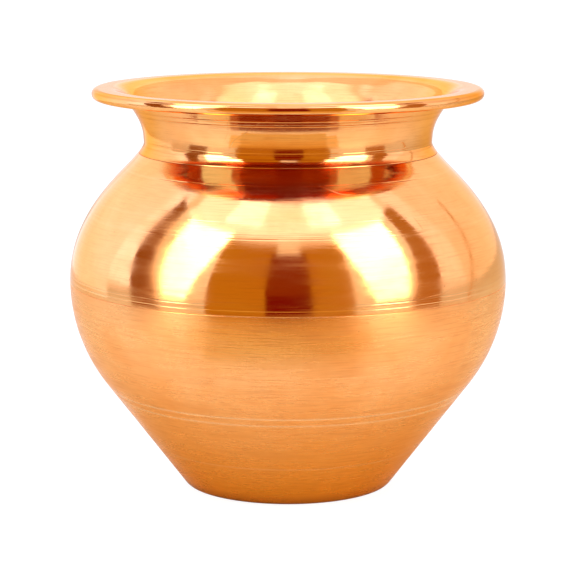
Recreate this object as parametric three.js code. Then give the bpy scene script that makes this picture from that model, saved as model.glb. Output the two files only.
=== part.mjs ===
// A copper kalash (lota): a round-bellied ceremonial water pot with a narrow throat and a
// flared, wired lip. It is made the way a coppersmith makes one: three spun shells that
// slip into each other at two lap joints, a ring of brazing metal in each lap, and a wire
// that the lip is curled over. Millimetres, +Z up, origin at the centre of the flat base.

import * as THREE from 'three';

// ---- Driving dimensions ----
const footRadius = 28.5;        // where the straight side would meet the table
const heelInnerRadius = 0.4;    // inside round between the floor and the side
const bellyRadius = 60;         // widest radius, outside
const bellyHeight = 57;         // height of the widest line, where the two halves join
const bellyArcRadius = 45.7;    // round of the side just below the widest line
const shoulderRise = 38.1;      // from the widest line up to the throat
const shoulderFullness = 22.5;  // how far the side stays upright above the widest line
const throatFullness = 5.4;     // how far the side is upright again below the throat
const throatRadius = 39.4;      // narrowest radius, outside
const flareRise = 13.18;        // from the throat up to the middle of the lip wire
const flareReach = 12.46;       // from the throat out to the middle of the lip wire
const throatArcRadius = 14.4;   // round of the throat, seen from the side
const flareLean = 34;           // lean of the flare from the vertical, in degrees
const brimBendRadius = 6;       // round from the leaning flare to the level brim
const wall = 0.7;               // sheet thickness of every shell
const wireRadius = 0.8;         // lip wire
const wireClearance = 0.05;     // between the wire and the curl around it
const curlSweep = 275;          // how far the sheet wraps round the wire, in degrees
const neckSeamDrop = 3;         // from the throat down to the neck joint
const lapLength = 4;            // height of each lap joint
const brazeThickness = 0.16;    // filler metal in a lap
const brazeClearance = 0.05;    // on each side of the filler
const joggleHeight = 1.2;       // height over which a shell steps in to enter its lap
const seamGap = 0.1;            // between two sheet edges that meet at a joint

// ---- Segment counts ----
const roundSegments = 48;       // around the axis
const heelSteps = 3;
const bellySteps = 7;
const shoulderSteps = 6;        // between the two laps
const neckSteps = 3;
const throatSteps = 3;
const brimSteps = 5;
const curlSteps = 11;
const wireSteps = 8;

// ---- Places worked out from the dimensions ----
const throatHeight = bellyHeight + shoulderRise;
const neckSeamHeight = throatHeight - neckSeamDrop;
const lapInset = wall + 2 * brazeClearance + brazeThickness;
const curlInnerRadius = wireRadius + wireClearance;
const wireCentre = new THREE.Vector2(throatRadius + flareReach, throatHeight + flareRise);
const bellyCentre = new THREE.Vector2(bellyRadius - bellyArcRadius, bellyHeight);
const throatCentre = new THREE.Vector2(throatRadius + throatArcRadius, throatHeight);
const brimHeight = wireCentre.y + curlInnerRadius;

// The outline from the widest line to the throat, outside of the sheet.
const shoulderCurve = new THREE.CubicBezierCurve(
  new THREE.Vector2(bellyRadius, bellyHeight),
  new THREE.Vector2(bellyRadius, bellyHeight + shoulderFullness),
  new THREE.Vector2(throatRadius, throatHeight - throatFullness),
  new THREE.Vector2(throatRadius, throatHeight),
);

// Points on a circle, from one angle to another (radians, from the outward direction).
function arcPoints(centre, radius, from, to, steps) {
  const points = [];
  for (let i = 0; i <= steps; i += 1) {
    const angle = from + ((to - from) * i) / steps;
    points.push(new THREE.Vector2(
      centre.x + radius * Math.cos(angle),
      centre.y + radius * Math.sin(angle),
    ));
  }
  return points;
}

// Evenly spaced numbers, both ends included.
function spread(from, to, steps) {
  return Array.from({ length: steps + 1 }, (unused, i) => from + ((to - from) * i) / steps);
}

// Points of a curve at the given parameters, moved inwards by an inset.
function insetPoints(curve, parameters, inset) {
  return parameters.map((t) => {
    const tangent = curve.getTangent(t);
    const outward = new THREE.Vector2(tangent.y, -tangent.x);
    return curve.getPoint(t).addScaledVector(outward, -inset);
  });
}

// The parameter at which the shoulder reaches a height, by halving the interval.
function shoulderParameter(height) {
  let low = 0;
  let high = 1;
  for (let i = 0; i < 40; i += 1) {
    const middle = (low + high) / 2;
    const below = shoulderCurve.getPoint(middle).y < height;
    low = below ? middle : low;
    high = below ? high : middle;
  }
  return (low + high) / 2;
}

// Every shell and filler ring has its points at these same places along the shoulder, so
// that their flat facets stay parallel where they lie close together.
const bellyLap = [bellyHeight + joggleHeight, bellyHeight + lapLength].map(shoulderParameter);
const neckLap = [neckSeamHeight - lapLength, neckSeamHeight - joggleHeight].map(shoulderParameter);
const neckSeam = shoulderParameter(neckSeamHeight);

// Revolves a closed outline (radius, height) and stands it up along +Z.
function revolve(outline) {
  const geometry = new THREE.LatheGeometry(outline, roundSegments);
  geometry.rotateX(Math.PI / 2);
  return geometry;
}

// Closes an outline whose two long sides are given in the same direction.
function shellOutline(outer, inner) {
  return [...outer, ...inner.reverse(), outer[0].clone()];
}

function makeMesh(name, geometry, color, roughness) {
  const material = new THREE.MeshStandardMaterial({ color, roughness, metalness: 1 });
  const mesh = new THREE.Mesh(geometry, material);
  mesh.name = name;
  return mesh;
}

// The straight side is the tangent from the foot to the belly arc. Its lean from the
// vertical is the direction of the arc's centre plus the angle that the arc takes up.
function sideLean() {
  const reach = bellyCentre.x - footRadius;
  const distance = Math.hypot(reach, bellyCentre.y);
  return Math.atan2(reach, bellyCentre.y) + Math.asin(bellyArcRadius / distance);
}

// Floor edge, heel and side up to the widest line, moved inwards by an inset.
function lowerSide(inset) {
  const lean = sideLean();
  const heelRadius = wall + heelInnerRadius;
  const cornerAngle = Math.PI / 2 + lean;
  const heelCentre = new THREE.Vector2(
    footRadius - heelRadius / Math.tan(cornerAngle / 2),
    heelRadius,
  );
  return [
    ...arcPoints(heelCentre, heelRadius - inset, -Math.PI / 2, -lean, heelSteps),
    ...arcPoints(bellyCentre, bellyArcRadius - inset, -lean, 0, bellySteps),
  ];
}

// ---- Lower bowl: flat floor, leaning side, and a stepped-in rim that enters the shoulder ----
function makeLowerBowl() {
  const seamHeight = bellyHeight - seamGap;
  const outerSide = lowerSide(0);
  outerSide[outerSide.length - 1].y = seamHeight;
  const outer = [
    new THREE.Vector2(0, 0),
    ...outerSide,
    new THREE.Vector2(bellyRadius - lapInset, seamHeight),
    ...insetPoints(shoulderCurve, bellyLap, lapInset),
  ];
  const innerSide = lowerSide(wall);
  innerSide[innerSide.length - 1].y = bellyHeight - joggleHeight;
  const inner = [
    new THREE.Vector2(0, wall),
    ...innerSide,
    ...insetPoints(shoulderCurve, [0, ...bellyLap], lapInset + wall),
  ];
  return makeMesh('lower_bowl', revolve([...outer, ...inner.reverse()]), 0xe59a5c, 0.3);
}

// ---- Shoulder: the plain ring of sheet between the two joints ----
function makeShoulder() {
  const between = spread(bellyLap[1], neckLap[0], shoulderSteps);
  const parameters = [0, bellyLap[0], ...between, neckLap[1], neckSeam];
  const outer = insetPoints(shoulderCurve, parameters, 0);
  const inner = insetPoints(shoulderCurve, parameters, wall);
  return makeMesh('shoulder', revolve(shellOutline(outer, inner)), 0xeaa56a, 0.26);
}

// Centre of the bend between the flare and the brim. The flare leaves the throat's arc as a
// straight line and meets the bend where the bend's top reaches the height of the brim.
function brimBendCentre(lean) {
  const along = new THREE.Vector2(Math.sin(lean), Math.cos(lean));
  const across = new THREE.Vector2(Math.cos(lean), -Math.sin(lean));
  const centre = throatCentre.clone().addScaledVector(across, brimBendRadius - throatArcRadius);
  const rise = brimHeight - brimBendRadius - centre.y;
  return centre.addScaledVector(along, rise / along.y);
}

// Neck, flare, brim and curl from the neck joint to the raw edge of the sheet.
function neckSide(inset) {
  const seamEdge = shoulderParameter(neckSeamHeight + seamGap);
  const lean = THREE.MathUtils.degToRad(flareLean);
  const flareAngle = Math.PI - lean;
  const level = Math.PI / 2;
  const curlTo = level - THREE.MathUtils.degToRad(curlSweep);
  return [
    ...insetPoints(shoulderCurve, spread(seamEdge, 1, neckSteps), inset),
    ...arcPoints(throatCentre, throatArcRadius + inset, Math.PI, flareAngle, throatSteps).slice(1),
    ...arcPoints(brimBendCentre(lean), brimBendRadius + inset, flareAngle, level, brimSteps),
    ...arcPoints(wireCentre, curlInnerRadius + inset, level, curlTo, curlSteps),
  ];
}

// ---- Neck collar: skirt inside the shoulder, throat, flare and curled lip ----
function makeNeckCollar() {
  const seamEdge = shoulderParameter(neckSeamHeight + seamGap);
  const outer = [
    ...insetPoints(shoulderCurve, [...neckLap, seamEdge], lapInset),
    ...neckSide(0),
  ];
  const inner = [
    ...insetPoints(shoulderCurve, neckLap, lapInset + wall),
    ...neckSide(wall).slice(1),
  ];
  return makeMesh('neck_collar', revolve(shellOutline(outer, inner)), 0xf0b47c, 0.24);
}

// ---- Rim wire: a round ring inside the curled lip ----
function makeRimWire() {
  const outline = arcPoints(wireCentre, wireRadius, -Math.PI, Math.PI, wireSteps);
  return makeMesh('rim_wire', revolve(outline), 0xc98b54, 0.45);
}

// ---- Brazing rings: the filler metal that stays in each lap ----
function makeBraze(name, lap) {
  const outerInset = wall + brazeClearance;
  const outer = insetPoints(shoulderCurve, lap, outerInset);
  const inner = insetPoints(shoulderCurve, lap, outerInset + brazeThickness);
  return makeMesh(name, revolve(shellOutline(outer, inner)), 0xd9b36a, 0.4);
}

const kalash = new THREE.Group();
kalash.add(makeLowerBowl());
kalash.add(makeShoulder());
kalash.add(makeNeckCollar());
kalash.add(makeRimWire());
kalash.add(makeBraze('belly_braze', bellyLap));
kalash.add(makeBraze('neck_braze', neckLap));

export default kalash;
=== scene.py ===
# %% [markdown]
# # A spun copper kalash
#
# A kalash is a round-bellied copper water pot. This one is three thin shells that a
# metal spinner pressed over a turning form: a lower bowl, a shoulder and a neck. They slip
# into each other at two joints that are brazed, and the lip is curled over a wire.
#
# Everything on such a pot was made on a lathe, so everything follows one rule: an outline
# turned round an axis. This lesson reads each shell's outline off its CAD solid, smooths
# it, cuts the scribed lines into it and turns it with Geometry Nodes. The rest is about
# making copper look like copper, and about the studio that it mirrors.

import math

import bpy
import numpy as np
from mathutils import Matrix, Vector


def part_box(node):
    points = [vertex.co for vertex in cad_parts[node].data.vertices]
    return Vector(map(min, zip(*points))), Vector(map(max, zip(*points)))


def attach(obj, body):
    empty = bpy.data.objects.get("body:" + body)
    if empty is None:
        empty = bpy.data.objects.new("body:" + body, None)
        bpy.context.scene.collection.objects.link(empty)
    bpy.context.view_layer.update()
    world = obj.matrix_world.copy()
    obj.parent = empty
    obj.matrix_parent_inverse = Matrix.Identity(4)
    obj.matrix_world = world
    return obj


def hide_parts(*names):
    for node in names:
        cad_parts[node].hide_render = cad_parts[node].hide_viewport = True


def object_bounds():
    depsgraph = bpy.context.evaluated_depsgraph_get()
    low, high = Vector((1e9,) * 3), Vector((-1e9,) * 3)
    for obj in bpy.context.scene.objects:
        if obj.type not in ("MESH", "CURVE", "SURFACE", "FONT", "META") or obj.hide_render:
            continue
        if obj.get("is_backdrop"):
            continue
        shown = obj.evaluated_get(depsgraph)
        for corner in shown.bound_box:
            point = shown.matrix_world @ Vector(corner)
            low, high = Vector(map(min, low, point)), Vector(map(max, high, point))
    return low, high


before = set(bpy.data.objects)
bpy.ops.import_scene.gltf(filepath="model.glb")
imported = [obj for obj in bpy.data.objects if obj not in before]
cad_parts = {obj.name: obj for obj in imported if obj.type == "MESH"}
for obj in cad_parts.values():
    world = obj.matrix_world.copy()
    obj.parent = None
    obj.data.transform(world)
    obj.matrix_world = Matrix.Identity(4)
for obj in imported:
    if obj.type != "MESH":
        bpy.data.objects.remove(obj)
cad_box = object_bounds()
MM = 0.001
TOP = cad_box[1].z
BELLY_RADIUS = cad_box[1].x
for name in sorted(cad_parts):
    low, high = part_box(name)
    print(f"{name}: z {low.z / MM:.1f} to {high.z / MM:.1f} mm,"
          f" radius {high.x / MM:.1f} mm")

# %% [markdown]
# ## Four small tools
#
# Colours are easiest to choose as sRGB hex values, the way a paint chart gives them, but a
# shader wants linear light. One function does the conversion for the whole file. Another
# adds a node, sets what can be set on it and links what feeds it. With it, a material reads
# as a list of what each step does. The last two start a material and put an object down.

# %% Colour, node, material and object helpers
def linear(hex_code):
    """An sRGB hex colour as linear red, green, blue and alpha."""
    channels = [int(hex_code[i:i + 2], 16) / 255 for i in (1, 3, 5)]
    return [c / 12.92 if c <= 0.04045 else ((c + 0.055) / 1.055) ** 2.4
            for c in channels] + [1.0]


def add(tree, kind, links=None, **settings):
    """Adds a node. Settings are properties or input values, links are input: socket."""
    made = tree.nodes.new(kind)
    for key, value in settings.items():
        if hasattr(made, key):
            setattr(made, key, value)
    for key, value in settings.items():
        if not hasattr(made, key):
            made.inputs[key.replace("_", " ")].default_value = value
    for key, source in (links or {}).items():
        if isinstance(source, (int, float, tuple, list)):
            made.inputs[key].default_value = source
        else:
            tree.links.new(source, made.inputs[key])
    return made


def new_material(name):
    """A fresh material, its node tree and the shader that the tree starts with."""
    material = bpy.data.materials.new(name)
    material.use_nodes = True
    return material, material.node_tree, material.node_tree.nodes["Principled BSDF"]


def put(name, data):
    """A new object at the origin, linked into the scene."""
    made = bpy.data.objects.new(name, data)
    bpy.context.scene.collection.objects.link(made)
    return made


print("copper orange in linear light:", [round(c, 3) for c in linear("#F2A25C")])

# %% [markdown]
# ## Reading an outline off a CAD solid
#
# A turned solid can be cut open along one half-plane, and the cut edge is its outline. The
# CAD mesh has edges that lie exactly in the half-plane y = 0, x >= 0. Walking from edge to
# edge gives the outline as an ordered list. The alternative, typing the sizes in again,
# would let the looks and the CAD drift apart.

# %% Outline of a CAD node
ON_PLANE = 1e-6          # metres, how near counts as lying in the half-plane
SAME_POINT_DIGITS = 3    # corners that agree to a thousandth of a millimetre are one


def cad_outline(name):
    """Points (radius, height) in metres: up the outside and back down the inside."""
    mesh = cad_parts[name].data
    ids = {}
    spots = []
    index = []
    for p in np.array([v.co for v in mesh.vertices]):
        key = tuple(np.round(p / MM, SAME_POINT_DIGITS) + 0.0)
        if key not in ids:
            ids[key] = len(spots)
            spots.append(p)
        index.append(ids[key])
    spots = np.array(spots)
    flat = (np.abs(spots[:, 1]) < ON_PLANE) & (spots[:, 0] > -ON_PLANE)
    near = {}
    for face in mesh.polygons:
        ring = [index[v] for v in face.vertices]
        for a, b in zip(ring, ring[1:] + ring[:1]):
            if a != b and flat[a] and flat[b]:
                near.setdefault(a, set()).add(b)
                near.setdefault(b, set()).add(a)
    ends = [i for i in near if spots[i, 0] < ON_PLANE]
    start = min(ends or near, key=lambda i: spots[i, 2])
    walk = [start]
    seen = {start}
    while True:
        nexts = [i for i in near[walk[-1]] if i not in seen]
        if not nexts:
            break
        walk.append(max(nexts, key=lambda i: spots[i, 0]) if len(walk) == 1 else nexts[0])
        seen.add(walk[-1])
    outline = spots[walk][:, [0, 2]]
    return outline if ends else np.vstack([outline, outline[:1]])


outlines = {name: cad_outline(name) for name in sorted(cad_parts)}
for name, outline in outlines.items():
    print(f"{name}: outline of {len(outline)} points")

# %% [markdown]
# ## Closing the seams
#
# The CAD leaves a tenth of a millimetre open where two sheets meet, so that they stay
# separate solids. On the real pot the joint is dressed flush and is hardly seen. So each
# seam edge moves most of the way towards the sheet that it faces.

# %% Move the seam edges together
SHEETS = ("lower_bowl", "shoulder", "neck_collar")
SEAM_REACH = 0.14 * MM   # an edge this near to another sheet is a seam edge
SEAM_SHARE = 0.42        # how much of the gap each edge crosses
DRAWN_STEP = 0.02 * MM


def line_length(line):
    """How far along the line each of its points is."""
    return np.concatenate([[0], np.cumsum(np.hypot(*np.diff(line, axis=0).T))])


def filled_in(points, step):
    """The same straight-sided line with a point every step."""
    length = line_length(points)
    where = np.linspace(0, length[-1], int(length[-1] / step))
    return np.stack([np.interp(where, length, points[:, k]) for k in (0, 1)], 1)


drawn = {name: filled_in(outlines[name], DRAWN_STEP) for name in SHEETS}
for name in SHEETS:
    moved = 0
    for other in SHEETS:
        for point in outlines[name] if other != name else []:
            away = drawn[other] - point
            nearest = np.argmin(np.hypot(*away.T))
            if np.hypot(*away[nearest]) < SEAM_REACH:
                point += SEAM_SHARE * away[nearest]
                moved += 1
    print(f"{name}: {moved} seam points moved")

# %% [markdown]
# ## Smoothing it
#
# The CAD outline is faceted: its round stretches are short straight chords. The corners of
# the chords lie exactly on the true curve, so a curve through them brings the round shape
# back. Real corners must stay corners, though, so a point where the outline turns sharply
# splits it into runs. Each run gets a Catmull-Rom curve, which passes through all its
# points. A spun edge is never quite sharp, so every corner is then eased by a small round.

# %% Smooth curves and eased corners
CORNER = math.radians(33)
EDGE_EASE = 0.05 * MM
EASE_POINTS = 7
DENSE = 0.03 * MM
STRAIGHT = 3.0           # a chord this many times longer than the next is a straight side


def turn_angles(points):
    """How sharply the line turns at each inner point."""
    steps = np.diff(points, axis=0)
    heading = np.unwrap(np.arctan2(steps[:, 1], steps[:, 0]))
    return np.abs(np.diff(heading))


def smooth_run(points):
    """A dense Catmull-Rom curve through the points, spaced by chord length."""
    if len(points) == 2:
        count = max(2, int(np.hypot(*(points[1] - points[0])) / DENSE))
        return points[0] + np.linspace(0, 1, count)[:, None] * (points[1] - points[0])
    chord = np.hypot(*np.diff(points, axis=0).T)
    knots = line_length(points)
    slope = np.gradient(points, knots, axis=0, edge_order=2)
    for k in range(1, len(chord)):
        long, short = (k - 1, k) if chord[k - 1] > chord[k] else (k, k - 1)
        if chord[long] > STRAIGHT * chord[short]:
            slope[k] = (points[long + 1] - points[long]) / chord[long]
    where = np.linspace(0, knots[-1], max(2, int(knots[-1] / DENSE)))
    i = np.clip(np.searchsorted(knots, where, side="right") - 1, 0, len(chord) - 1)
    h = chord[i][:, None]
    t = ((where - knots[i]) / chord[i])[:, None]
    return ((2 * t**3 - 3 * t**2 + 1) * points[i] + (t**3 - 2 * t**2 + t) * h * slope[i]
            + (3 * t**2 - 2 * t**3) * points[i + 1] + (t**3 - t**2) * h * slope[i + 1])


def dense_outline(points):
    """The whole outline as a dense line, with its corners eased, and where they are."""
    closed = np.allclose(points[0], points[-1])
    sharp = [k + 1 for k, a in enumerate(turn_angles(points)) if a > CORNER]
    cuts = [0] + sharp + [len(points) - 1]
    line = np.vstack([smooth_run(points[a:b + 1])[int(a > 0):]
                      for a, b in zip(cuts, cuts[1:])])
    corners = [points[k] for k in sharp]
    for corner in corners:
        gap = np.flatnonzero(np.hypot(*(line - corner).T) <= EDGE_EASE)
        a, b = line[gap[0] - 1], line[(gap[-1] + 1) % len(line)]
        t = np.linspace(0, 1, EASE_POINTS)[1:-1, None]
        ease = (1 - t)**2 * a + 2 * t * (1 - t) * corner + t**2 * b
        line = np.vstack([line[:gap[0]], ease, line[gap[-1] + 1:]])
    if closed:
        line[-1] = line[0]
    return line, np.array(corners).reshape(-1, 2)


dense = {name: dense_outline(points) for name, points in outlines.items()
         if name != "rim_wire"}     # the wire is drawn as a true circle further down
for name, (line, corners) in dense.items():
    print(f"{name}: {len(line)} dense points, {len(corners)} corners")

# %% [markdown]
# ## Scribed lines
#
# While a pot is still on the lathe the maker presses a pointed tool against it and leaves
# fine lines, usually in pairs. They could be painted with a bump map, but a groove that is
# really in the outline catches the light properly from every side and stays in the mesh.
# Each line is a height on the outside, a width and a depth. The heights are measured from
# the foot, so they are plain sizes in millimetres.

# %% The lines and where they sit
# height, width and depth in millimetres
SCRIBED = {
    "lower_bowl": [(11.9, 0.28, 0.014), (26.2, 0.32, 0.040), (28.3, 0.32, 0.045)],
    "shoulder": [(58.3, 0.28, 0.016), (59.6, 0.28, 0.012), (75.8, 0.34, 0.008),
                 (76.8, 0.28, 0.005), (79.6, 0.26, 0.006), (88.1, 0.26, 0.010)],
    "neck_collar": [(94.3, 0.28, 0.022), (95.7, 0.26, 0.016), (103.0, 0.32, 0.035),
                    (104.3, 0.32, 0.035)],
}
LIP_LINE = (109.12, 0.30, 0.040)   # the step where the curl meets the flare
VALLEY_PINCH = 1.6       # how steeply a groove closes towards its edges
BURR = (0.18, 3, 1.9)    # the metal pushed up beside it: height, pinch, half-widths away


def groove(offset, width):
    """A rounded V, one deep in the middle, with a faint raised lip on each side."""
    u = offset / (width / 2)
    burr = BURR[0] * np.exp(-BURR[1] * (np.abs(u) - BURR[2])**2)
    return np.exp(-VALLEY_PINCH * u**2) - burr


def place_of_height(line, length, height):
    """Where the outside of an outline first reaches a height, as a length along it."""
    above = np.flatnonzero((line[:-1, 1] < height) & (line[1:, 1] >= height))
    return length[above[0]]


def groove_marks(name, line, length):
    """Where along the outline each line sits, with its width and depth in metres."""
    marks = [(place_of_height(line, length, h * MM), w * MM, d * MM)
             for h, w, d in SCRIBED.get(name, [])]
    if name == "neck_collar":
        widest = int(np.argmax(line[:, 0]))
        place = place_of_height(line[widest:], length[widest:], LIP_LINE[0] * MM)
        marks.append((place, LIP_LINE[1] * MM, LIP_LINE[2] * MM))
    return marks


print("scribed lines:", {name: len(lines) for name, lines in SCRIBED.items()})

# %% [markdown]
# ## Cutting them
#
# The dense outline has far more points than a mesh needs. It is sampled again: evenly and
# widely on the plain stretches, closely at every groove and every eased corner. Then each
# point is pushed in by the depth of the grooves there. How deep that is also travels with
# the point, because a groove gets a colour of its own: pale on the bowl and shoulder, dark
# brown on the neck.

# %% Sample the outlines and cut the grooves
SPACING = {"lower_bowl": 0.75 * MM, "shoulder": 0.75 * MM, "neck_collar": 0.45 * MM}
PLAIN_SPACING = 0.4 * MM
CLOSEST = 0.03 * MM      # no two samples nearer than this
GROOVE_SAMPLES = np.array([-2, -1.5, -1.1, -0.8, -0.55, -0.35, -0.18, 0,
                           0.18, 0.35, 0.55, 0.8, 1.1, 1.5, 2])      # in groove widths
CORNER_SAMPLES = np.array([-4, -2, -1, -0.5, 0, 0.5, 1, 2, 4])       # in corner rounds
CREASE_WIDTH = 1.1       # how far the colour of a line reaches, in groove widths
FULL_CREASE = 0.075 * MM    # a groove this deep has the whole colour
NO_LENGTH = 1e-9         # keeps a division by a heading's length safe


def sample_places(name, line, corners, length, marks):
    """Lengths along the outline at which the mesh gets a ring of points."""
    spacing = SPACING.get(name, PLAIN_SPACING)
    samples = list(np.linspace(0, length[-1], int(length[-1] / spacing) + 2))
    for place, width, _ in marks:
        samples += list(place + width * GROOVE_SAMPLES)
    for corner in corners:
        place = length[np.argmin(np.hypot(*(line - corner).T))]
        samples += list(place + EDGE_EASE * CORNER_SAMPLES)
    samples = np.unique(np.clip(samples, 0, length[-1]))
    keep = np.concatenate([[True], np.diff(samples) > CLOSEST])
    keep[-1] = True
    return samples[keep]


def finished_outline(name):
    """Sampled outline with its grooves cut, and the values the material will ask for."""
    line, corners = dense[name]
    length = line_length(line)
    marks = groove_marks(name, line, length)
    samples = sample_places(name, line, corners, length, marks)
    points = np.stack([np.interp(samples, length, line[:, k]) for k in (0, 1)], 1)
    heading = np.gradient(points, samples, axis=0)
    heading /= np.maximum(np.hypot(*heading.T), NO_LENGTH)[:, None]
    outward = np.stack([heading[:, 1], -heading[:, 0]], 1)
    depth = np.zeros(len(samples))
    crease = np.zeros(len(samples))
    for place, w, d in marks:
        depth = depth + d * groove(samples - place, w)
        crease = crease + (np.exp(-((samples - place) / (CREASE_WIDTH * w))**2)
                           * d / FULL_CREASE)
    points = np.clip(points - outward * depth[:, None], 0, (BELLY_RADIUS, TOP))
    return points, samples, np.clip(crease, 0, 1)


finished = {name: finished_outline(name) for name in dense}
for name, (points, samples, crease) in finished.items():
    print(f"{name}: {len(points)} points over {samples[-1] / MM:.0f} mm of outline")

# %% [markdown]
# ## Turning the outline
#
# Spinning an outline round an axis is a rule, so Geometry Nodes does it. The tree starts
# from a flat grid. One side of the grid counts the points of the outline and the other
# counts the turns. Each grid point looks up its outline point and swings it round the axis.
# Merging by distance then closes the seam, the pole in the floor and the closed outlines.
# Blender's Screw modifier could also do it, but the tree can carry values along: how far a
# point is along the outline, how close it is to a groove, and whether it is inside.
# A hand-spun sheet is never perfectly even, so the tree also presses it inwards by a few
# hundredths of a millimetre here and there, which makes the mirrored studio ripple.

# %% The turning tree
TURNS = 240
MERGE_REACH = 2e-6       # metres
UNEVEN = 0.030 * MM
UNEVEN_SIZE = 26 * MM
CARRIED = ("along", "crease", "inside")


def turning_tree():
    """The node group: an outline goes in, a shell with a finish comes out."""
    tree = bpy.data.node_groups.new("turned_sheet", "GeometryNodeTree")
    face = tree.interface
    face.new_socket("Outline", in_out="INPUT", socket_type="NodeSocketGeometry")
    face.new_socket("Turns", in_out="INPUT", socket_type="NodeSocketInt")
    face.new_socket("Unevenness", in_out="INPUT", socket_type="NodeSocketFloat")
    face.new_socket("Finish", in_out="INPUT", socket_type="NodeSocketMaterial")
    face.new_socket("Shell", in_out="OUTPUT", socket_type="NodeSocketGeometry")
    given = add(tree, "NodeGroupInput").outputs
    size = add(tree, "GeometryNodeAttributeDomainSize", {0: given["Outline"]})
    last_point = add(tree, "ShaderNodeMath", {0: size.outputs["Point Count"], 1: 1.0},
                     operation="SUBTRACT").outputs[0]
    rows = add(tree, "ShaderNodeMath", {0: given["Turns"], 1: 1.0},
               operation="ADD").outputs[0]
    grid = add(tree, "GeometryNodeMeshGrid", {
        "Size X": last_point, "Size Y": given["Turns"],
        "Vertices X": size.outputs["Point Count"], "Vertices Y": rows})
    spot = add(tree, "ShaderNodeSeparateXYZ", {
        0: add(tree, "GeometryNodeInputPosition").outputs[0]}).outputs
    half = add(tree, "ShaderNodeMath", {0: last_point, 1: 0.5},
               operation="MULTIPLY").outputs[0]
    count = add(tree, "ShaderNodeMath", {0: spot["X"], 1: half}, operation="ADD").outputs[0]
    which = add(tree, "ShaderNodeMath", {0: count}, operation="ROUND").outputs[0]
    part = add(tree, "ShaderNodeMath", {0: spot["Y"], 1: given["Turns"]},
               operation="DIVIDE")
    angle = add(tree, "ShaderNodeMath", {0: part.outputs[0], 1: math.tau},
                operation="MULTIPLY").outputs[0]
    point = add(tree, "GeometryNodeSampleIndex", {
        "Geometry": given["Outline"], "Index": which,
        "Value": add(tree, "GeometryNodeInputPosition").outputs[0]},
        data_type="FLOAT_VECTOR")
    swung = add(tree, "ShaderNodeVectorRotate", {
        "Vector": point.outputs[0], "Angle": angle}, rotation_type="Z_AXIS").outputs[0]
    shape = grid.outputs["Mesh"]
    for name in CARRIED:
        stored = add(tree, "GeometryNodeInputNamedAttribute", data_type="FLOAT", Name=name)
        value = add(tree, "GeometryNodeSampleIndex", {
            "Geometry": given["Outline"], "Index": which, "Value": stored.outputs[0]})
        shape = add(tree, "GeometryNodeStoreNamedAttribute", {
            "Geometry": shape, "Value": value.outputs[0]}, Name=name).outputs[0]
    shape = add(tree, "GeometryNodeSetPosition", {
        "Geometry": shape, "Position": swung}).outputs[0]
    shape = add(tree, "GeometryNodeMergeByDistance", {"Geometry": shape},
                Distance=MERGE_REACH).outputs[0]
    ripple = add(tree, "ShaderNodeTexNoise", Scale=1 / UNEVEN_SIZE, Detail=1.0)
    dent = add(tree, "ShaderNodeMath", {0: ripple.outputs[0], 1: given["Unevenness"]},
               operation="MULTIPLY").outputs[0]
    place = add(tree, "ShaderNodeSeparateXYZ", {
        0: add(tree, "GeometryNodeInputPosition").outputs[0]}).outputs
    flat = add(tree, "ShaderNodeCombineXYZ", {"X": place["X"], "Y": place["Y"]}).outputs[0]
    out = add(tree, "ShaderNodeVectorMath", {0: flat}, operation="NORMALIZE").outputs[0]
    push = add(tree, "ShaderNodeVectorMath", {0: out, 3: dent},
               operation="SCALE").outputs[0]
    inward = add(tree, "ShaderNodeVectorMath", {0: push, 1: (-1, -1, -1)},
                 operation="MULTIPLY").outputs[0]
    shape = add(tree, "GeometryNodeSetPosition", {
        "Geometry": shape, "Offset": inward}).outputs[0]
    shape = add(tree, "GeometryNodeSetShadeSmooth", {"Geometry": shape}).outputs[0]
    shape = add(tree, "GeometryNodeRealizeInstances", {"Geometry": shape}).outputs[0]
    shape = add(tree, "GeometryNodeSetMaterial", {
        "Geometry": shape, "Material": given["Finish"]}).outputs[0]
    tree.links.new(shape, add(tree, "NodeGroupOutput").inputs[0])
    return tree


TURNING = turning_tree()
INPUTS = {item.name: item.identifier for item in TURNING.interface.items_tree
          if item.item_type == "SOCKET" and item.in_out == "INPUT"}
print("turning tree inputs:", ", ".join(INPUTS))

# %% [markdown]
# ## Copper
#
# Copper is the one common metal that is orange-red by itself: it soaks up blue and green
# light and throws back red. A metal shader needs only that mirror colour, so Metallic is 1
# and IOR stays at its default. What makes it read as *spun* copper is how it was finished.
# Emery cloth held against the turning pot leaves fine rings. They blur a reflection across
# the rings and leave it sharp along them, which is what Anisotropic does with a tangent
# that runs round the Z axis.
#
# The rings themselves are noise that is stretched round the pot: its coordinate is the
# direction round the axis, slow, and the length along the outline, fast. Handling leaves
# soft blotches, a few curved hairlines and tiny pits, and the grooves of the neck are
# coloured dark brown. Two marks are painted shade. One is a deeper orange towards the foot,
# for the shaded table and the copper light that it throws back. The other is a brown band
# along the heel, for the contact shadow.

# %% Spun copper
COPPER_BRIGHT = "#F7B270"
COPPER_WARM = "#F2A25C"
# painted shade: the deeper orange of the foot stands for the shaded table and its copper
# bounce
PAINTED_FOOT_SHADE = "#F0982E"
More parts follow.
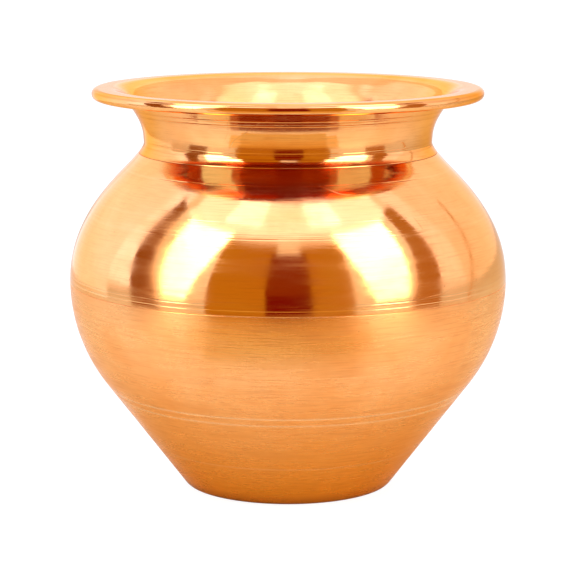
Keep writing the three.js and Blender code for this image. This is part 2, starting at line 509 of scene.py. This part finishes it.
# brown for tarnish, and for the painted contact shadow at the heel
TARNISH_AND_SHADE_BROWN = "#A9501C"
COPPER_RAW = "#DB8F5E"
LINE_BRIGHT = "#FFE0AC"      # a line that the tool has burnished
GRAZING = "#FFE7C8"          # what a steep glancing look sees, a warm white
GRAZING_LIP = "#FFCF9C"
FOOT_SHADE_FADE = (4 * MM, 40 * MM)
HEEL_HEIGHT = 3.5 * MM
LINE_STRENGTH = 0.55
CROWN_FADE = (76 * MM, 86 * MM)
RING_PITCH = 0.45        # mm between the rings that the emery leaves, coarse enough to show
BAND_PITCH = 3.2         # mm between broader passes of the cloth
RING_WANDER = 5.0        # how quickly a ring changes on its way round the pot
BAND_WANDER = 2.5
BLOTCH_SIZE = 24.0       # mm across a soft patch
PIT_SPACING = 4.5        # mm between possible pits
HAIRLINE_SIZE = 30.0     # mm, how tightly a hairline scratch curves
PATCH_SIZE = 14.0        # mm across a patch that has hairlines
HAIRLINE_LEVEL = 0.52    # the level of the slow noise that a hairline follows
# the heel's share is painted shade: a contact shadow along the bottom edge
HEEL_PAINTED_SHADE, PIT_STAIN, HAIRLINE_STAIN = 0.6, 0.6, 0.25
BLOTCH_STREAK = 0.04     # roughness that a blotch adds or takes
RAW_ROUGHNESS = 0.13     # roughness that the raw inside adds
LINE_POLISH = -0.10      # a scribed line is burnished, so it is smoother
BAND_RELIEF, HAIRLINE_RELIEF, PIT_RELIEF = 2.5, -1.0, -1.5     # beside the rings' 1


def ring_coordinate(tree, slow, pitch):
    """Direction round the axis, slow, and length along the outline, fast."""
    along = add(tree, "ShaderNodeAttribute", attribute_name="along").outputs["Fac"]
    place = add(tree, "ShaderNodeSeparateXYZ", {
        0: add(tree, "ShaderNodeTexCoord").outputs["Object"]}).outputs
    flat = add(tree, "ShaderNodeCombineXYZ", {"X": place["X"], "Y": place["Y"]}).outputs[0]
    way = add(tree, "ShaderNodeVectorMath", {0: flat}, operation="NORMALIZE").outputs[0]
    slowed = add(tree, "ShaderNodeVectorMath", {0: way, 3: slow}, operation="SCALE")
    round_part = add(tree, "ShaderNodeSeparateXYZ", {0: slowed.outputs[0]}).outputs
    fast = add(tree, "ShaderNodeMath", {0: along, 1: 1 / (pitch * MM)},
               operation="MULTIPLY").outputs[0]
    return add(tree, "ShaderNodeCombineXYZ", {
        "X": round_part["X"], "Y": round_part["Y"], "Z": fast}).outputs[0]


def spun_copper(name, roughness, crown_polish, streak, ring_stain, relief_depth, line,
                grazing):
    """Copper sheet, spun and ring-brushed. Polished outside, left raw inside."""
    material, tree, shader = new_material(name)
    shader.inputs["Metallic"].default_value = 1.0
    shader.inputs["Anisotropic"].default_value = 0.6
    shader.inputs["Anisotropic Rotation"].default_value = 0.25
    shader.inputs["Specular Tint"].default_value = linear(grazing)
    round_axis = add(tree, "ShaderNodeTangent", direction_type="RADIAL", axis="Z")
    tree.links.new(round_axis.outputs[0], shader.inputs["Tangent"])
    spot = add(tree, "ShaderNodeTexCoord").outputs["Object"]
    height = add(tree, "ShaderNodeSeparateXYZ", {0: spot}).outputs["Z"]
    inside = add(tree, "ShaderNodeAttribute", attribute_name="inside").outputs["Fac"]
    crease = add(tree, "ShaderNodeAttribute", attribute_name="crease").outputs["Fac"]
    rings = add(tree, "ShaderNodeTexNoise", {
        "Vector": ring_coordinate(tree, RING_WANDER, RING_PITCH)},
                Scale=1.0, Detail=3.0, Roughness=0.7).outputs[0]
    bands = add(tree, "ShaderNodeTexNoise", {
        "Vector": ring_coordinate(tree, BAND_WANDER, BAND_PITCH)},
                Scale=1.0, Detail=2.0).outputs[0]
    blotch = add(tree, "ShaderNodeTexNoise", {"Vector": spot}, Scale=1 / (BLOTCH_SIZE * MM),
                 Detail=4.0, Roughness=0.6, Distortion=0.4).outputs[0]

    # hairlines: thin level lines of a slow noise, kept only where another noise is high
    curl = add(tree, "ShaderNodeTexNoise", {"Vector": spot}, Scale=1 / (HAIRLINE_SIZE * MM),
               Detail=1.0, Distortion=1.2).outputs[0]
    off_line = add(tree, "ShaderNodeMath", {0: curl, 1: HAIRLINE_LEVEL},
                   operation="SUBTRACT").outputs[0]
    away = add(tree, "ShaderNodeMath", {0: off_line}, operation="ABSOLUTE").outputs[0]
    thin = add(tree, "ShaderNodeMapRange", {"Value": away}, From_Min=0.0, From_Max=0.003,
               To_Min=1.0, To_Max=0.0).outputs[0]
    patch = add(tree, "ShaderNodeTexNoise", {"Vector": spot}, Scale=1 / (PATCH_SIZE * MM),
                Detail=0.0, W=3.0, noise_dimensions="4D").outputs[0]
    here = add(tree, "ShaderNodeMapRange", {"Value": patch},
               From_Min=0.58, From_Max=0.66).outputs[0]
    hairline = add(tree, "ShaderNodeMath", {0: thin, 1: here},
                   operation="MULTIPLY").outputs[0]

    # pits: the middles of a few cells
    cells = add(tree, "ShaderNodeTexVoronoi", {"Vector": spot},
                Scale=1 / (PIT_SPACING * MM))
    middle = add(tree, "ShaderNodeMapRange", {"Value": cells.outputs["Distance"]},
                 From_Min=0.02, From_Max=0.05, To_Min=1.0, To_Max=0.0).outputs[0]
    luck = add(tree, "ShaderNodeSeparateColor", {0: cells.outputs["Color"]}).outputs[0]
    few = add(tree, "ShaderNodeMapRange", {"Value": luck},
              From_Min=0.88, From_Max=0.90).outputs[0]
    pit = add(tree, "ShaderNodeMath", {0: middle, 1: few}, operation="MULTIPLY").outputs[0]

    # colour: two coppers in soft patches, painted shade at the foot, raw inside, stains,
    # painted heel shadow
    warm = add(tree, "ShaderNodeMapRange", {"Value": blotch},
               From_Min=0.35, From_Max=0.68).outputs[0]
    colour = add(tree, "ShaderNodeMix", {
        0: warm, 6: linear(COPPER_BRIGHT), 7: linear(COPPER_WARM)},
                 data_type="RGBA").outputs[2]
    # painted shade: the lower bowl turns deeper orange towards the foot, for the shaded,
    # copper-lit table it mirrors
    foot = add(tree, "ShaderNodeMapRange", {"Value": height}, From_Min=FOOT_SHADE_FADE[0],
               From_Max=FOOT_SHADE_FADE[1], To_Min=1.0, To_Max=0.0).outputs[0]
    colour = add(tree, "ShaderNodeMix", {0: foot, 6: colour, 7: linear(PAINTED_FOOT_SHADE)},
                 data_type="RGBA").outputs[2]
    colour = add(tree, "ShaderNodeMix", {0: inside, 6: colour, 7: linear(COPPER_RAW)},
                 data_type="RGBA").outputs[2]
    ring_tone = add(tree, "ShaderNodeMapRange", {"Value": rings},
                    From_Min=0.46, From_Max=0.74,
                    To_Max=ring_stain).outputs[0]
    band_tone = add(tree, "ShaderNodeMapRange", {"Value": bands},
                    From_Min=0.52, From_Max=0.75,
                    To_Max=0.5 * ring_stain).outputs[0]
    stain_and_shade = add(tree, "ShaderNodeMath", {0: ring_tone, 1: band_tone},
                operation="MAXIMUM").outputs[0]
    # painted shade: the bottom 3.5 mm darken towards brown, for the contact shadow on the
    # table
    heel = add(tree, "ShaderNodeMapRange", {"Value": height},
               From_Min=0.0, From_Max=HEEL_HEIGHT,
               To_Min=1.0, To_Max=0.0).outputs[0]
    for mark, strength in ((heel, HEEL_PAINTED_SHADE), (pit, PIT_STAIN),
                           (hairline, HAIRLINE_STAIN)):
        dark = add(tree, "ShaderNodeMath", {0: mark, 1: strength},
                   operation="MULTIPLY").outputs[0]
        stain_and_shade = add(tree, "ShaderNodeMath", {0: stain_and_shade, 1: dark},
                    operation="MAXIMUM").outputs[0]
    colour = add(tree, "ShaderNodeMix", {0: stain_and_shade, 6: colour, 7: linear(TARNISH_AND_SHADE_BROWN)},
                 data_type="RGBA").outputs[2]
    drawn_line = add(tree, "ShaderNodeMath", {0: crease, 1: LINE_STRENGTH},
                     operation="MULTIPLY")
    colour = add(tree, "ShaderNodeMix", {
        0: drawn_line.outputs[0], 6: colour, 7: linear(line)},
                 data_type="RGBA").outputs[2]
    tree.links.new(colour, shader.inputs["Base Color"])

    # roughness: the finish itself, smoother near the neck seam, and varied by every mark
    rough = add(tree, "ShaderNodeMapRange", {"Value": height}, From_Min=CROWN_FADE[0],
                From_Max=CROWN_FADE[1], To_Min=roughness,
                To_Max=roughness - crown_polish).outputs[0]
    for mark, spread in ((rings, streak), (bands, streak), (blotch, BLOTCH_STREAK)):
        change = add(tree, "ShaderNodeMapRange", {"Value": mark},
                     From_Min=0.3, From_Max=0.7,
                     To_Min=-spread, To_Max=spread).outputs[0]
        rough = add(tree, "ShaderNodeMath", {0: rough, 1: change},
                    operation="ADD").outputs[0]
    for mark, more in ((inside, RAW_ROUGHNESS), (crease, LINE_POLISH)):
        change = add(tree, "ShaderNodeMath", {0: mark, 1: more},
                     operation="MULTIPLY").outputs[0]
        rough = add(tree, "ShaderNodeMath", {0: rough, 1: change},
                    operation="ADD").outputs[0]
    tree.links.new(rough, shader.inputs["Roughness"])

    # relief: emery rings stand up, hairlines and pits go in
    relief = rings
    for mark, share in ((bands, BAND_RELIEF), (hairline, HAIRLINE_RELIEF),
                        (pit, PIT_RELIEF)):
        change = add(tree, "ShaderNodeMath", {0: mark, 1: share},
                     operation="MULTIPLY").outputs[0]
        relief = add(tree, "ShaderNodeMath", {0: relief, 1: change},
                     operation="ADD").outputs[0]
    bump = add(tree, "ShaderNodeBump", {"Height": relief},
               Strength=1.0, Distance=relief_depth * MM)
    tree.links.new(bump.outputs[0], shader.inputs["Normal"])
    return material


# %% [markdown]
# ## Three finishes
#
# The lower bowl keeps the satin skin of coarse emery. The shoulder was polished further,
# most of all near the neck. The neck was burnished, which closes the skin. Its scribed
# lines are coloured dark brown, where those on the belly are coloured pale.

# %% The finishes of the three shells
# roughness, polish gained near the neck, streak, ring stain, ring depth in mm, the colour
# of the scribed lines, the colour that a glancing look sees
FINISHES = {
    "lower_bowl": spun_copper("satin_spun_copper_lower", 0.29, 0.0, 0.05, 0.30, 0.008,
                              LINE_BRIGHT, GRAZING),
    "shoulder": spun_copper("polished_spun_copper_shoulder", 0.14, 0.04, 0.05, 0.16, 0.007,
                            LINE_BRIGHT, GRAZING),
    "neck_collar": spun_copper("burnished_spun_copper_neck", 0.12, 0.0, 0.03, 0.24, 0.006,
                               TARNISH_AND_SHADE_BROWN, GRAZING_LIP),
}
print("finishes:", ", ".join(m.name for m in FINISHES.values()))

# %% [markdown]
# ## The two metals that stay hidden
#
# The lip is curled over a drawn copper wire, and brazing brass has run into both joints.
# Neither shows from outside, but they are real pieces and a cut-away would show them. Drawn
# wire has fine lines along its length and a dull skin. Brazing metal is yellower than
# copper and sets with a slightly lumpy surface.

# %% Wire and brazing metal
def plain_metal(name, bright, dull, roughness, grain_mm):
    """A dull metal skin with a grain of two tones."""
    material, tree, shader = new_material(name)
    shader.inputs["Metallic"].default_value = 1.0
    spot = add(tree, "ShaderNodeTexCoord").outputs["Object"]
    grain = add(tree, "ShaderNodeTexNoise", {"Vector": spot}, Scale=1 / (grain_mm * MM),
                Detail=4.0).outputs[0]
    dark = add(tree, "ShaderNodeMapRange", {"Value": grain}, From_Min=0.35, From_Max=0.65)
    colour = add(tree, "ShaderNodeMix", {
        0: dark.outputs[0], 6: linear(bright), 7: linear(dull)}, data_type="RGBA")
    tree.links.new(colour.outputs[2], shader.inputs["Base Color"])
    rough = add(tree, "ShaderNodeMapRange", {"Value": grain}, From_Min=0.3, From_Max=0.7,
                To_Min=roughness - 0.08, To_Max=roughness + 0.08)
    tree.links.new(rough.outputs[0], shader.inputs["Roughness"])
    bump = add(tree, "ShaderNodeBump", {"Height": grain}, Strength=0.5, Distance=0.02 * MM)
    tree.links.new(bump.outputs[0], shader.inputs["Normal"])
    return material


FINISHES["rim_wire"] = plain_metal("drawn_copper_wire", "#D08A58", "#A8653C", 0.42, 0.6)
for name in ("belly_braze", "neck_braze"):
    FINISHES[name] = plain_metal("brazing_brass", "#D9B36A", "#B08A48", 0.45, 1.2)

# %% [markdown]
# ## Making the six pieces
#
# Each piece is an outline mesh with the turning tree on it, turned into a plain mesh. The
# result is checked for holes and for which way its faces point before it takes the place of
# its CAD node.

# %% Build the pieces
WIRE_STEPS = 28
THROAT_HEIGHT = 95.1 * MM
RAW_FADE = (3 * MM, 8 * MM)     # the raw skin starts this far above the throat, and fades
CUBIC_CM = 1e-6


def wire_outline():
    """The CAD wire has a few flat sides. The real one is round, with the same middle."""
    low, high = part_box("rim_wire")
    ring = outlines["rim_wire"]
    radius = (high.z - low.z) / 2
    middle = np.array([(ring[:, 0].max() + ring[:, 0].min()) / 2, (high.z + low.z) / 2])
    t = np.linspace(0, math.tau, WIRE_STEPS + 1)
    points = middle + radius * np.stack([np.cos(t), np.sin(t)], 1)
    points[-1] = points[0]
    return points, t * radius, np.zeros(len(t))


def inside_amount(name, points):
    """1 on the raw inner side, 0 on the polished outside, the flare and the lip."""
    amount = np.zeros(len(points))
    if name == "neck_collar":
        start = int(np.argmax(points[:, 0]))
        fade = (THROAT_HEIGHT + RAW_FADE[0] - points[start:, 1]) / RAW_FADE[1]
        amount[start:] = np.clip(fade, 0, 1)
    else:
        amount[int(np.argmax(points[:, 1])):] = 1
    return amount


def outline_mesh(name, points, along, crease):
    """The outline as a mesh of edges that carries what the material will ask for."""
    mesh = bpy.data.meshes.new(name + "_outline")
    mesh.from_pydata([(r, 0, z) for r, z in points],
                     [(i, i + 1) for i in range(len(points) - 1)], [])
    for key, values in (("along", along), ("crease", crease),
                        ("inside", inside_amount(name, points))):
        mesh.attributes.new(key, "FLOAT", "POINT").data.foreach_set("value", values)
    return mesh


def turn(name, points, along, crease):
    """Runs the turning tree on an outline and returns the plain piece."""
    tool = put(name + "_tool", outline_mesh(name, points, along, crease))
    modifier = tool.modifiers.new("turn", "NODES")
    modifier.node_group = TURNING
    modifier[INPUTS["Turns"]] = TURNS
    modifier[INPUTS["Unevenness"]] = UNEVEN
    modifier[INPUTS["Finish"]] = FINISHES[name]
    evaluated = tool.evaluated_get(bpy.context.evaluated_depsgraph_get())
    mesh = bpy.data.meshes.new_from_object(evaluated)
    bpy.data.objects.remove(tool)
    mesh.name = name + "_turned"
    return put(name + "_turned", mesh)


def check_closed(piece):
    """Signed volume in cubic centimetres, how many edges are open, how many triangles."""
    mesh = piece.data
    mesh.calc_loop_triangles()
    co = np.array([v.co for v in mesh.vertices])
    tri = np.array([t.vertices for t in mesh.loop_triangles])
    a, b, c = co[tri[:, 0]], co[tri[:, 1]], co[tri[:, 2]]
    volume = np.einsum("ij,ij->i", a, np.cross(b, c)).sum() / 6
    use = {}
    for face in mesh.polygons:
        for key in face.edge_keys:
            use[key] = use.get(key, 0) + 1
    return volume / CUBIC_CM, sum(1 for n in use.values() if n != 2), len(tri)


finished["rim_wire"] = wire_outline()
for name in sorted(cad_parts):
    piece = turn(name, *finished[name])
    volume, open_edges, triangles = check_closed(piece)
    if volume < 0:
        piece.data.flip_normals()
    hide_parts(name)
    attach(piece, "root")
    print(f"{name}: {abs(volume):.2f} cm3, {triangles} triangles, {open_edges} open edges,"
          f" {'turned the right way' if volume < 0 else 'faces out'}")

# %% [markdown]
# ## The studio
#
# Polished metal has almost no look of its own: it shows the room. Small shiny goods are
# shown in a light tent, a white box on a white table with lamps outside it. What
# the pot mirrors is the tent: pale walls, a brighter roof, two big soft lamps in front to
# the left and right, the dark gap between them where the camera looks in, and the darker
# poles outside the lamps.
#
# The table is two thin boards in one place, because a look at the table and a mirror image
# of it want different things. The one that the camera sees is white acrylic lit from below,
# which gives a clean ground with only a breath of shadow. The one that the copper mirrors
# is warm paper. Ray visibility decides which board a ray can meet.

# %% Floor and tent
DOME_RADIUS = 370 * MM
DOME_HEIGHT = 57 * MM
TABLE_SIZE = 9.0
TENT_WHITE = (1.25, 1.25, 1.38)
TABLE_SEEN = "#7A7A7A"
TABLE_LIT = 0.86         # how much of the seen board's white comes from below
TABLE_MIRRORED = "#D0D2CA"
SEEN_LIFT = -0.10 * MM
MIRRORED_LIFT = -0.05 * MM
BOARD_ROUGHNESS = 0.9
BOARD_SHINE = 0.2


def table(name, colour, lift, lit):
    """A wide level board of paint, lit from below as much as asked."""
    half = TABLE_SIZE / 2
    mesh = bpy.data.meshes.new(name)
    mesh.from_pydata([(-half, -half, lift), (half, -half, lift), (half, half, lift),
                      (-half, half, lift)], [], [(0, 1, 2, 3)])
    board = put(name, mesh)
    paint, _, shader = new_material(name + "_sheet")
    shader.inputs["Base Color"].default_value = linear(colour)
    shader.inputs["Roughness"].default_value = BOARD_ROUGHNESS
    shader.inputs["Specular IOR Level"].default_value = BOARD_SHINE
    shader.inputs["Emission Color"].default_value = (1, 1, 1, 1)
    shader.inputs["Emission Strength"].default_value = lit
    mesh.materials.append(paint)
    board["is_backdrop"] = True
    return board


def tent():
    """The pale fabric all round: an even light from every side."""
    world = bpy.data.worlds.new("light_tent")
    bpy.context.scene.world = world
    world.use_nodes = True
    back = world.node_tree.nodes["Background"]
    back.inputs["Color"].default_value = (*TENT_WHITE, 1)
    back.inputs["Strength"].default_value = 1.0


seen = table("table_seen", TABLE_SEEN, SEEN_LIFT, TABLE_LIT)
seen.visible_glossy = False
mirrored = table("table_mirrored", TABLE_MIRRORED, MIRRORED_LIFT, 0.0)
mirrored.visible_camera = False
mirrored.visible_shadow = False
mirrored.visible_diffuse = False
tent()
print(f"dome of cards: radius {DOME_RADIUS / MM:.0f} mm")

# %% [markdown]
# ## Cards
#
# Everything else in the tent is a card on a small dome round the pot. A card is given by
# where it stands round the pot and how high it reaches, both in degrees, so it can be moved
# by looking at where its image lies on the belly. The camera doesn't see the cards, so no
# view is blocked. A few more lie on the table in front, where the lower bowl looks. They
# are painted shade and light on the table: warm, and darker the further out in front of the
# pot, with two paler strips beside the lamps.
#
# The lamps are seven times brighter than white. That is what makes their image burn out to
# white even on copper, which swallows most of the blue.
#
# The lip hangs over the shoulder, so the band of shoulder just below the neck mirrors the
# underside of the lip, which mirrors the table. That second look has cards of its own on
# the table. They are painted shade, dark in front of the pot and at the poles, and painted
# light, bright patches where the lamps and the walls stand. A Light Path node makes them
# clear to every ray that has met copper only once.

# %% Cards
CARD_STEP = 5.0         # degrees between the corners of a card's facets
TWICE = 1.5             # a ray that met copper at least twice counts more than this
CARD_LIFT = 0.1 * MM
SECOND_CARD_LIFT = 0.2 * MM


def glow(name, colour, second_look):
    """An evenly coloured light. One for second looks is clear to every other ray."""
    material, tree, shader = new_material(name)
    tree.nodes.remove(shader)
    light = add(tree, "ShaderNodeEmission", Color=(*colour, 1), Strength=1.0).outputs[0]
    if second_look:
        mirrored = add(tree, "ShaderNodeLightPath").outputs["Glossy Depth"]
        twice = add(tree, "ShaderNodeMath", {0: mirrored, 1: TWICE},
                    operation="GREATER_THAN")
        clear = add(tree, "ShaderNodeBsdfTransparent").outputs[0]
        light = add(tree, "ShaderNodeMixShader", {
            0: twice.outputs[0], 1: clear, 2: light}).outputs[0]
    tree.links.new(light, tree.nodes["Material Output"].inputs["Surface"])
    return material


def hidden_card(name, points, columns, colour, second_look=False):
    """A grid of points as a glowing card that the camera looks through."""
    rows = len(points) // columns
    corners = [r * columns + c for r in range(rows - 1) for c in range(columns - 1)]
    faces = [(k, k + 1, k + columns + 1, k + columns) for k in corners]
    mesh = bpy.data.meshes.new(name)
    mesh.from_pydata(points, [], faces)
    made = put(name, mesh)
    mesh.materials.append(glow(name + "_light", colour, second_look))
    made.visible_camera = False
    made.visible_shadow = False
    made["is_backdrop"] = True


def card(name, bottom, top, low, high, colour, reach=1.0):
    """A patch of the dome. bottom and top are its (left, right) azimuths down there and up
    there, low and high are elevations, all in degrees."""
    across = 2 + int(abs(bottom[1] - bottom[0]) / CARD_STEP)
    points = []
    for rise in np.linspace(0, 1, 2 + int((high - low) / CARD_STEP)):
        elevation = math.radians(low + (high - low) * rise)
        left = bottom[0] + (top[0] - bottom[0]) * rise
        right = bottom[1] + (top[1] - bottom[1]) * rise
        for azimuth in np.radians(np.linspace(left, right, across)):
            points.append((reach * DOME_RADIUS * math.cos(elevation) * math.sin(azimuth),
                           -reach * DOME_RADIUS * math.cos(elevation) * math.cos(azimuth),
                           DOME_HEIGHT + reach * DOME_RADIUS * math.sin(elevation)))
    hidden_card(name, points, across, colour)


def table_card(name, left, right, near, far, colour, second_look=False):
    """A patch that lies on the table, between two azimuths, from near to far in mm."""
    angles = np.radians(np.linspace(left, right, 2 + int((right - left) / CARD_STEP)))
    lift = SECOND_CARD_LIFT if second_look else CARD_LIFT
    points = [(reach * MM * math.sin(a), -reach * MM * math.cos(a), lift)
              for reach in (near, far) for a in angles]
    hidden_card(name, points, len(angles), colour, second_look)


card("lamp_left", (-62, -50), (-72, -36), 1, 50, (7, 7, 7))
card("lamp_right", (42, 59), (29, 68), 1, 50, (7, 7, 7))
card("pole_left", (-80, -63), (-93, -83), -9, 52, (0.34, 0.13, 0.02))
card("pole_right", (60, 78), (76, 86), -9, 52, (0.54, 0.26, 0.07))
card("gap_left", (-40, -9), (-37, -6), -9, 46, (0.60, 0.30, 0.02))
card("gap_right", (9, 32), (7, 30), -9, 45, (0.62, 0.33, 0.03))
card("gap_middle", (-11, 11), (-9, 10), 7, 38, (0.29, 0.05, 0.004), reach=0.985)
card("camera_front", (-10.5, 11.5), (-10.5, 11.5), -9, 7, (0.20, 0.0, 0.0), reach=0.98)
card("roof", (-80, 80), (-80, 80), 50, 80, (2.1, 2.1, 2.8), reach=1.02)
card("roof_glow_left", (-50, -20), (-50, -20), 56, 72, (3.0, 3.0, 4.4))
card("roof_glow_right", (16, 42), (16, 42), 56, 72, (3.2, 3.2, 4.8))
card("wall_left", (-155, -100), (-155, -100), -6, 56, (1.4, 1.6, 2.2), reach=1.03)
card("wall_left_near", (-100, -80), (-100, -88), 2, 62, (1.7, 1.9, 2.8), reach=1.01)
card("wall_right_near", (79, 98), (86, 98), 2, 60, (1.5, 1.45, 1.8), reach=1.01)
card("wall_right_fold", (97, 99), (117, 119), -10, 34, (0.80, 0.50, 0.22))
card("wall_back", (166, 194), (166, 194), 15, 80, (1.7, 1.7, 2.4))
# painted shade on the table in front, darker further out, and painted light in two strips
# beside the lamps
table_card("table_painted_shade_near", -37, 30, 108, 170, (0.90, 0.74, 0.38))
table_card("table_painted_shade_middle", -36, 29, 170, 230, (0.95, 0.68, 0.27))
table_card("table_painted_shade_far", -38, 31, 230, 310, (0.88, 0.56, 0.14))
table_card("table_painted_shade_dark", -38, 31, 310, 364, (0.40, 0.12, 0.0))
for side, left, right in (("left", -45, -36), ("right", 29, 38)):
    table_card("table_fold_" + side, left, right, 130, 330, (1.10, 0.92, 0.55))
# second-look cards: painted shade of the table in front and at the poles, painted light at
# the lamps and walls
for name, left, right, near, far, colour in (
        ("gap_near", -40, 34, 62, 150, (0.17, 0.02, 0.0)),
        ("gap_far", -40, 34, 150, 364, (0.28, 0.07, 0.0)),
        ("fold_left", -47, -40, 62, 364, (0.50, 0.35, 0.35)),
        ("fold_right", 34, 41, 62, 364, (0.50, 0.35, 0.35)),
        ("lamp_left", -78, -47, 62, 364, (1.1, 2.4, 5.0)),
        ("lamp_right", 41, 74, 62, 364, (1.0, 1.9, 3.5)),
        ("pole_left", -95, -78, 62, 364, (0.40, 0.12, 0.02)),
        ("pole_right", 74, 90, 62, 364, (0.55, 0.26, 0.06)),
        ("wall_left", -150, -95, 62, 364, (1.2, 2.6, 6.0)),
        ("wall_right", 90, 150, 62, 364, (1.2, 2.2, 4.0))):
    table_card("second_look_painted_" + name, left, right, near, far, colour, second_look=True)
print("glowing cards:", sum(1 for m in bpy.data.materials if m.name.endswith("_light")))

# %% [markdown]
# ## The camera
#
# A long lens from a little above the rim, close enough that the mouth shows as a flat
# ellipse. The pot is centred, so the lens needs no shift.

# %% Camera
CAMERA_BACK = 617.9 * MM
CAMERA_HEIGHT = 161.96 * MM
AIM_HEIGHT = 54.07 * MM
LENS = 141.65            # millimetres, as is the width of the film behind it
FILM_WIDTH = 36
NEAR_LIMIT = 0.01        # metres

camera = put("camera", bpy.data.cameras.new("camera"))
camera.location = (0, -CAMERA_BACK, CAMERA_HEIGHT)
aim = Vector((0, 0, AIM_HEIGHT)) - camera.location
camera.rotation_euler = aim.to_track_quat("-Z", "Y").to_euler()
camera.data.lens = LENS
camera.data.sensor_width = FILM_WIDTH
camera.data.clip_start = NEAR_LIMIT
bpy.context.scene.camera = camera
bpy.context.scene.view_settings.view_transform = "Standard"
print(f"camera {aim.length / MM:.0f} mm from the middle of the pot")

# %% [markdown]
# ## Sizes
#
# Both boxes are printed: the CAD box and the box of the looks. The looks may never grow
# past the CAD box.

# %% Sizes
visual_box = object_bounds()
for label, corners in (("CAD", cad_box), ("visual", visual_box)):
    print(label, [[round(v / MM, 3) for v in corner] for corner in corners])
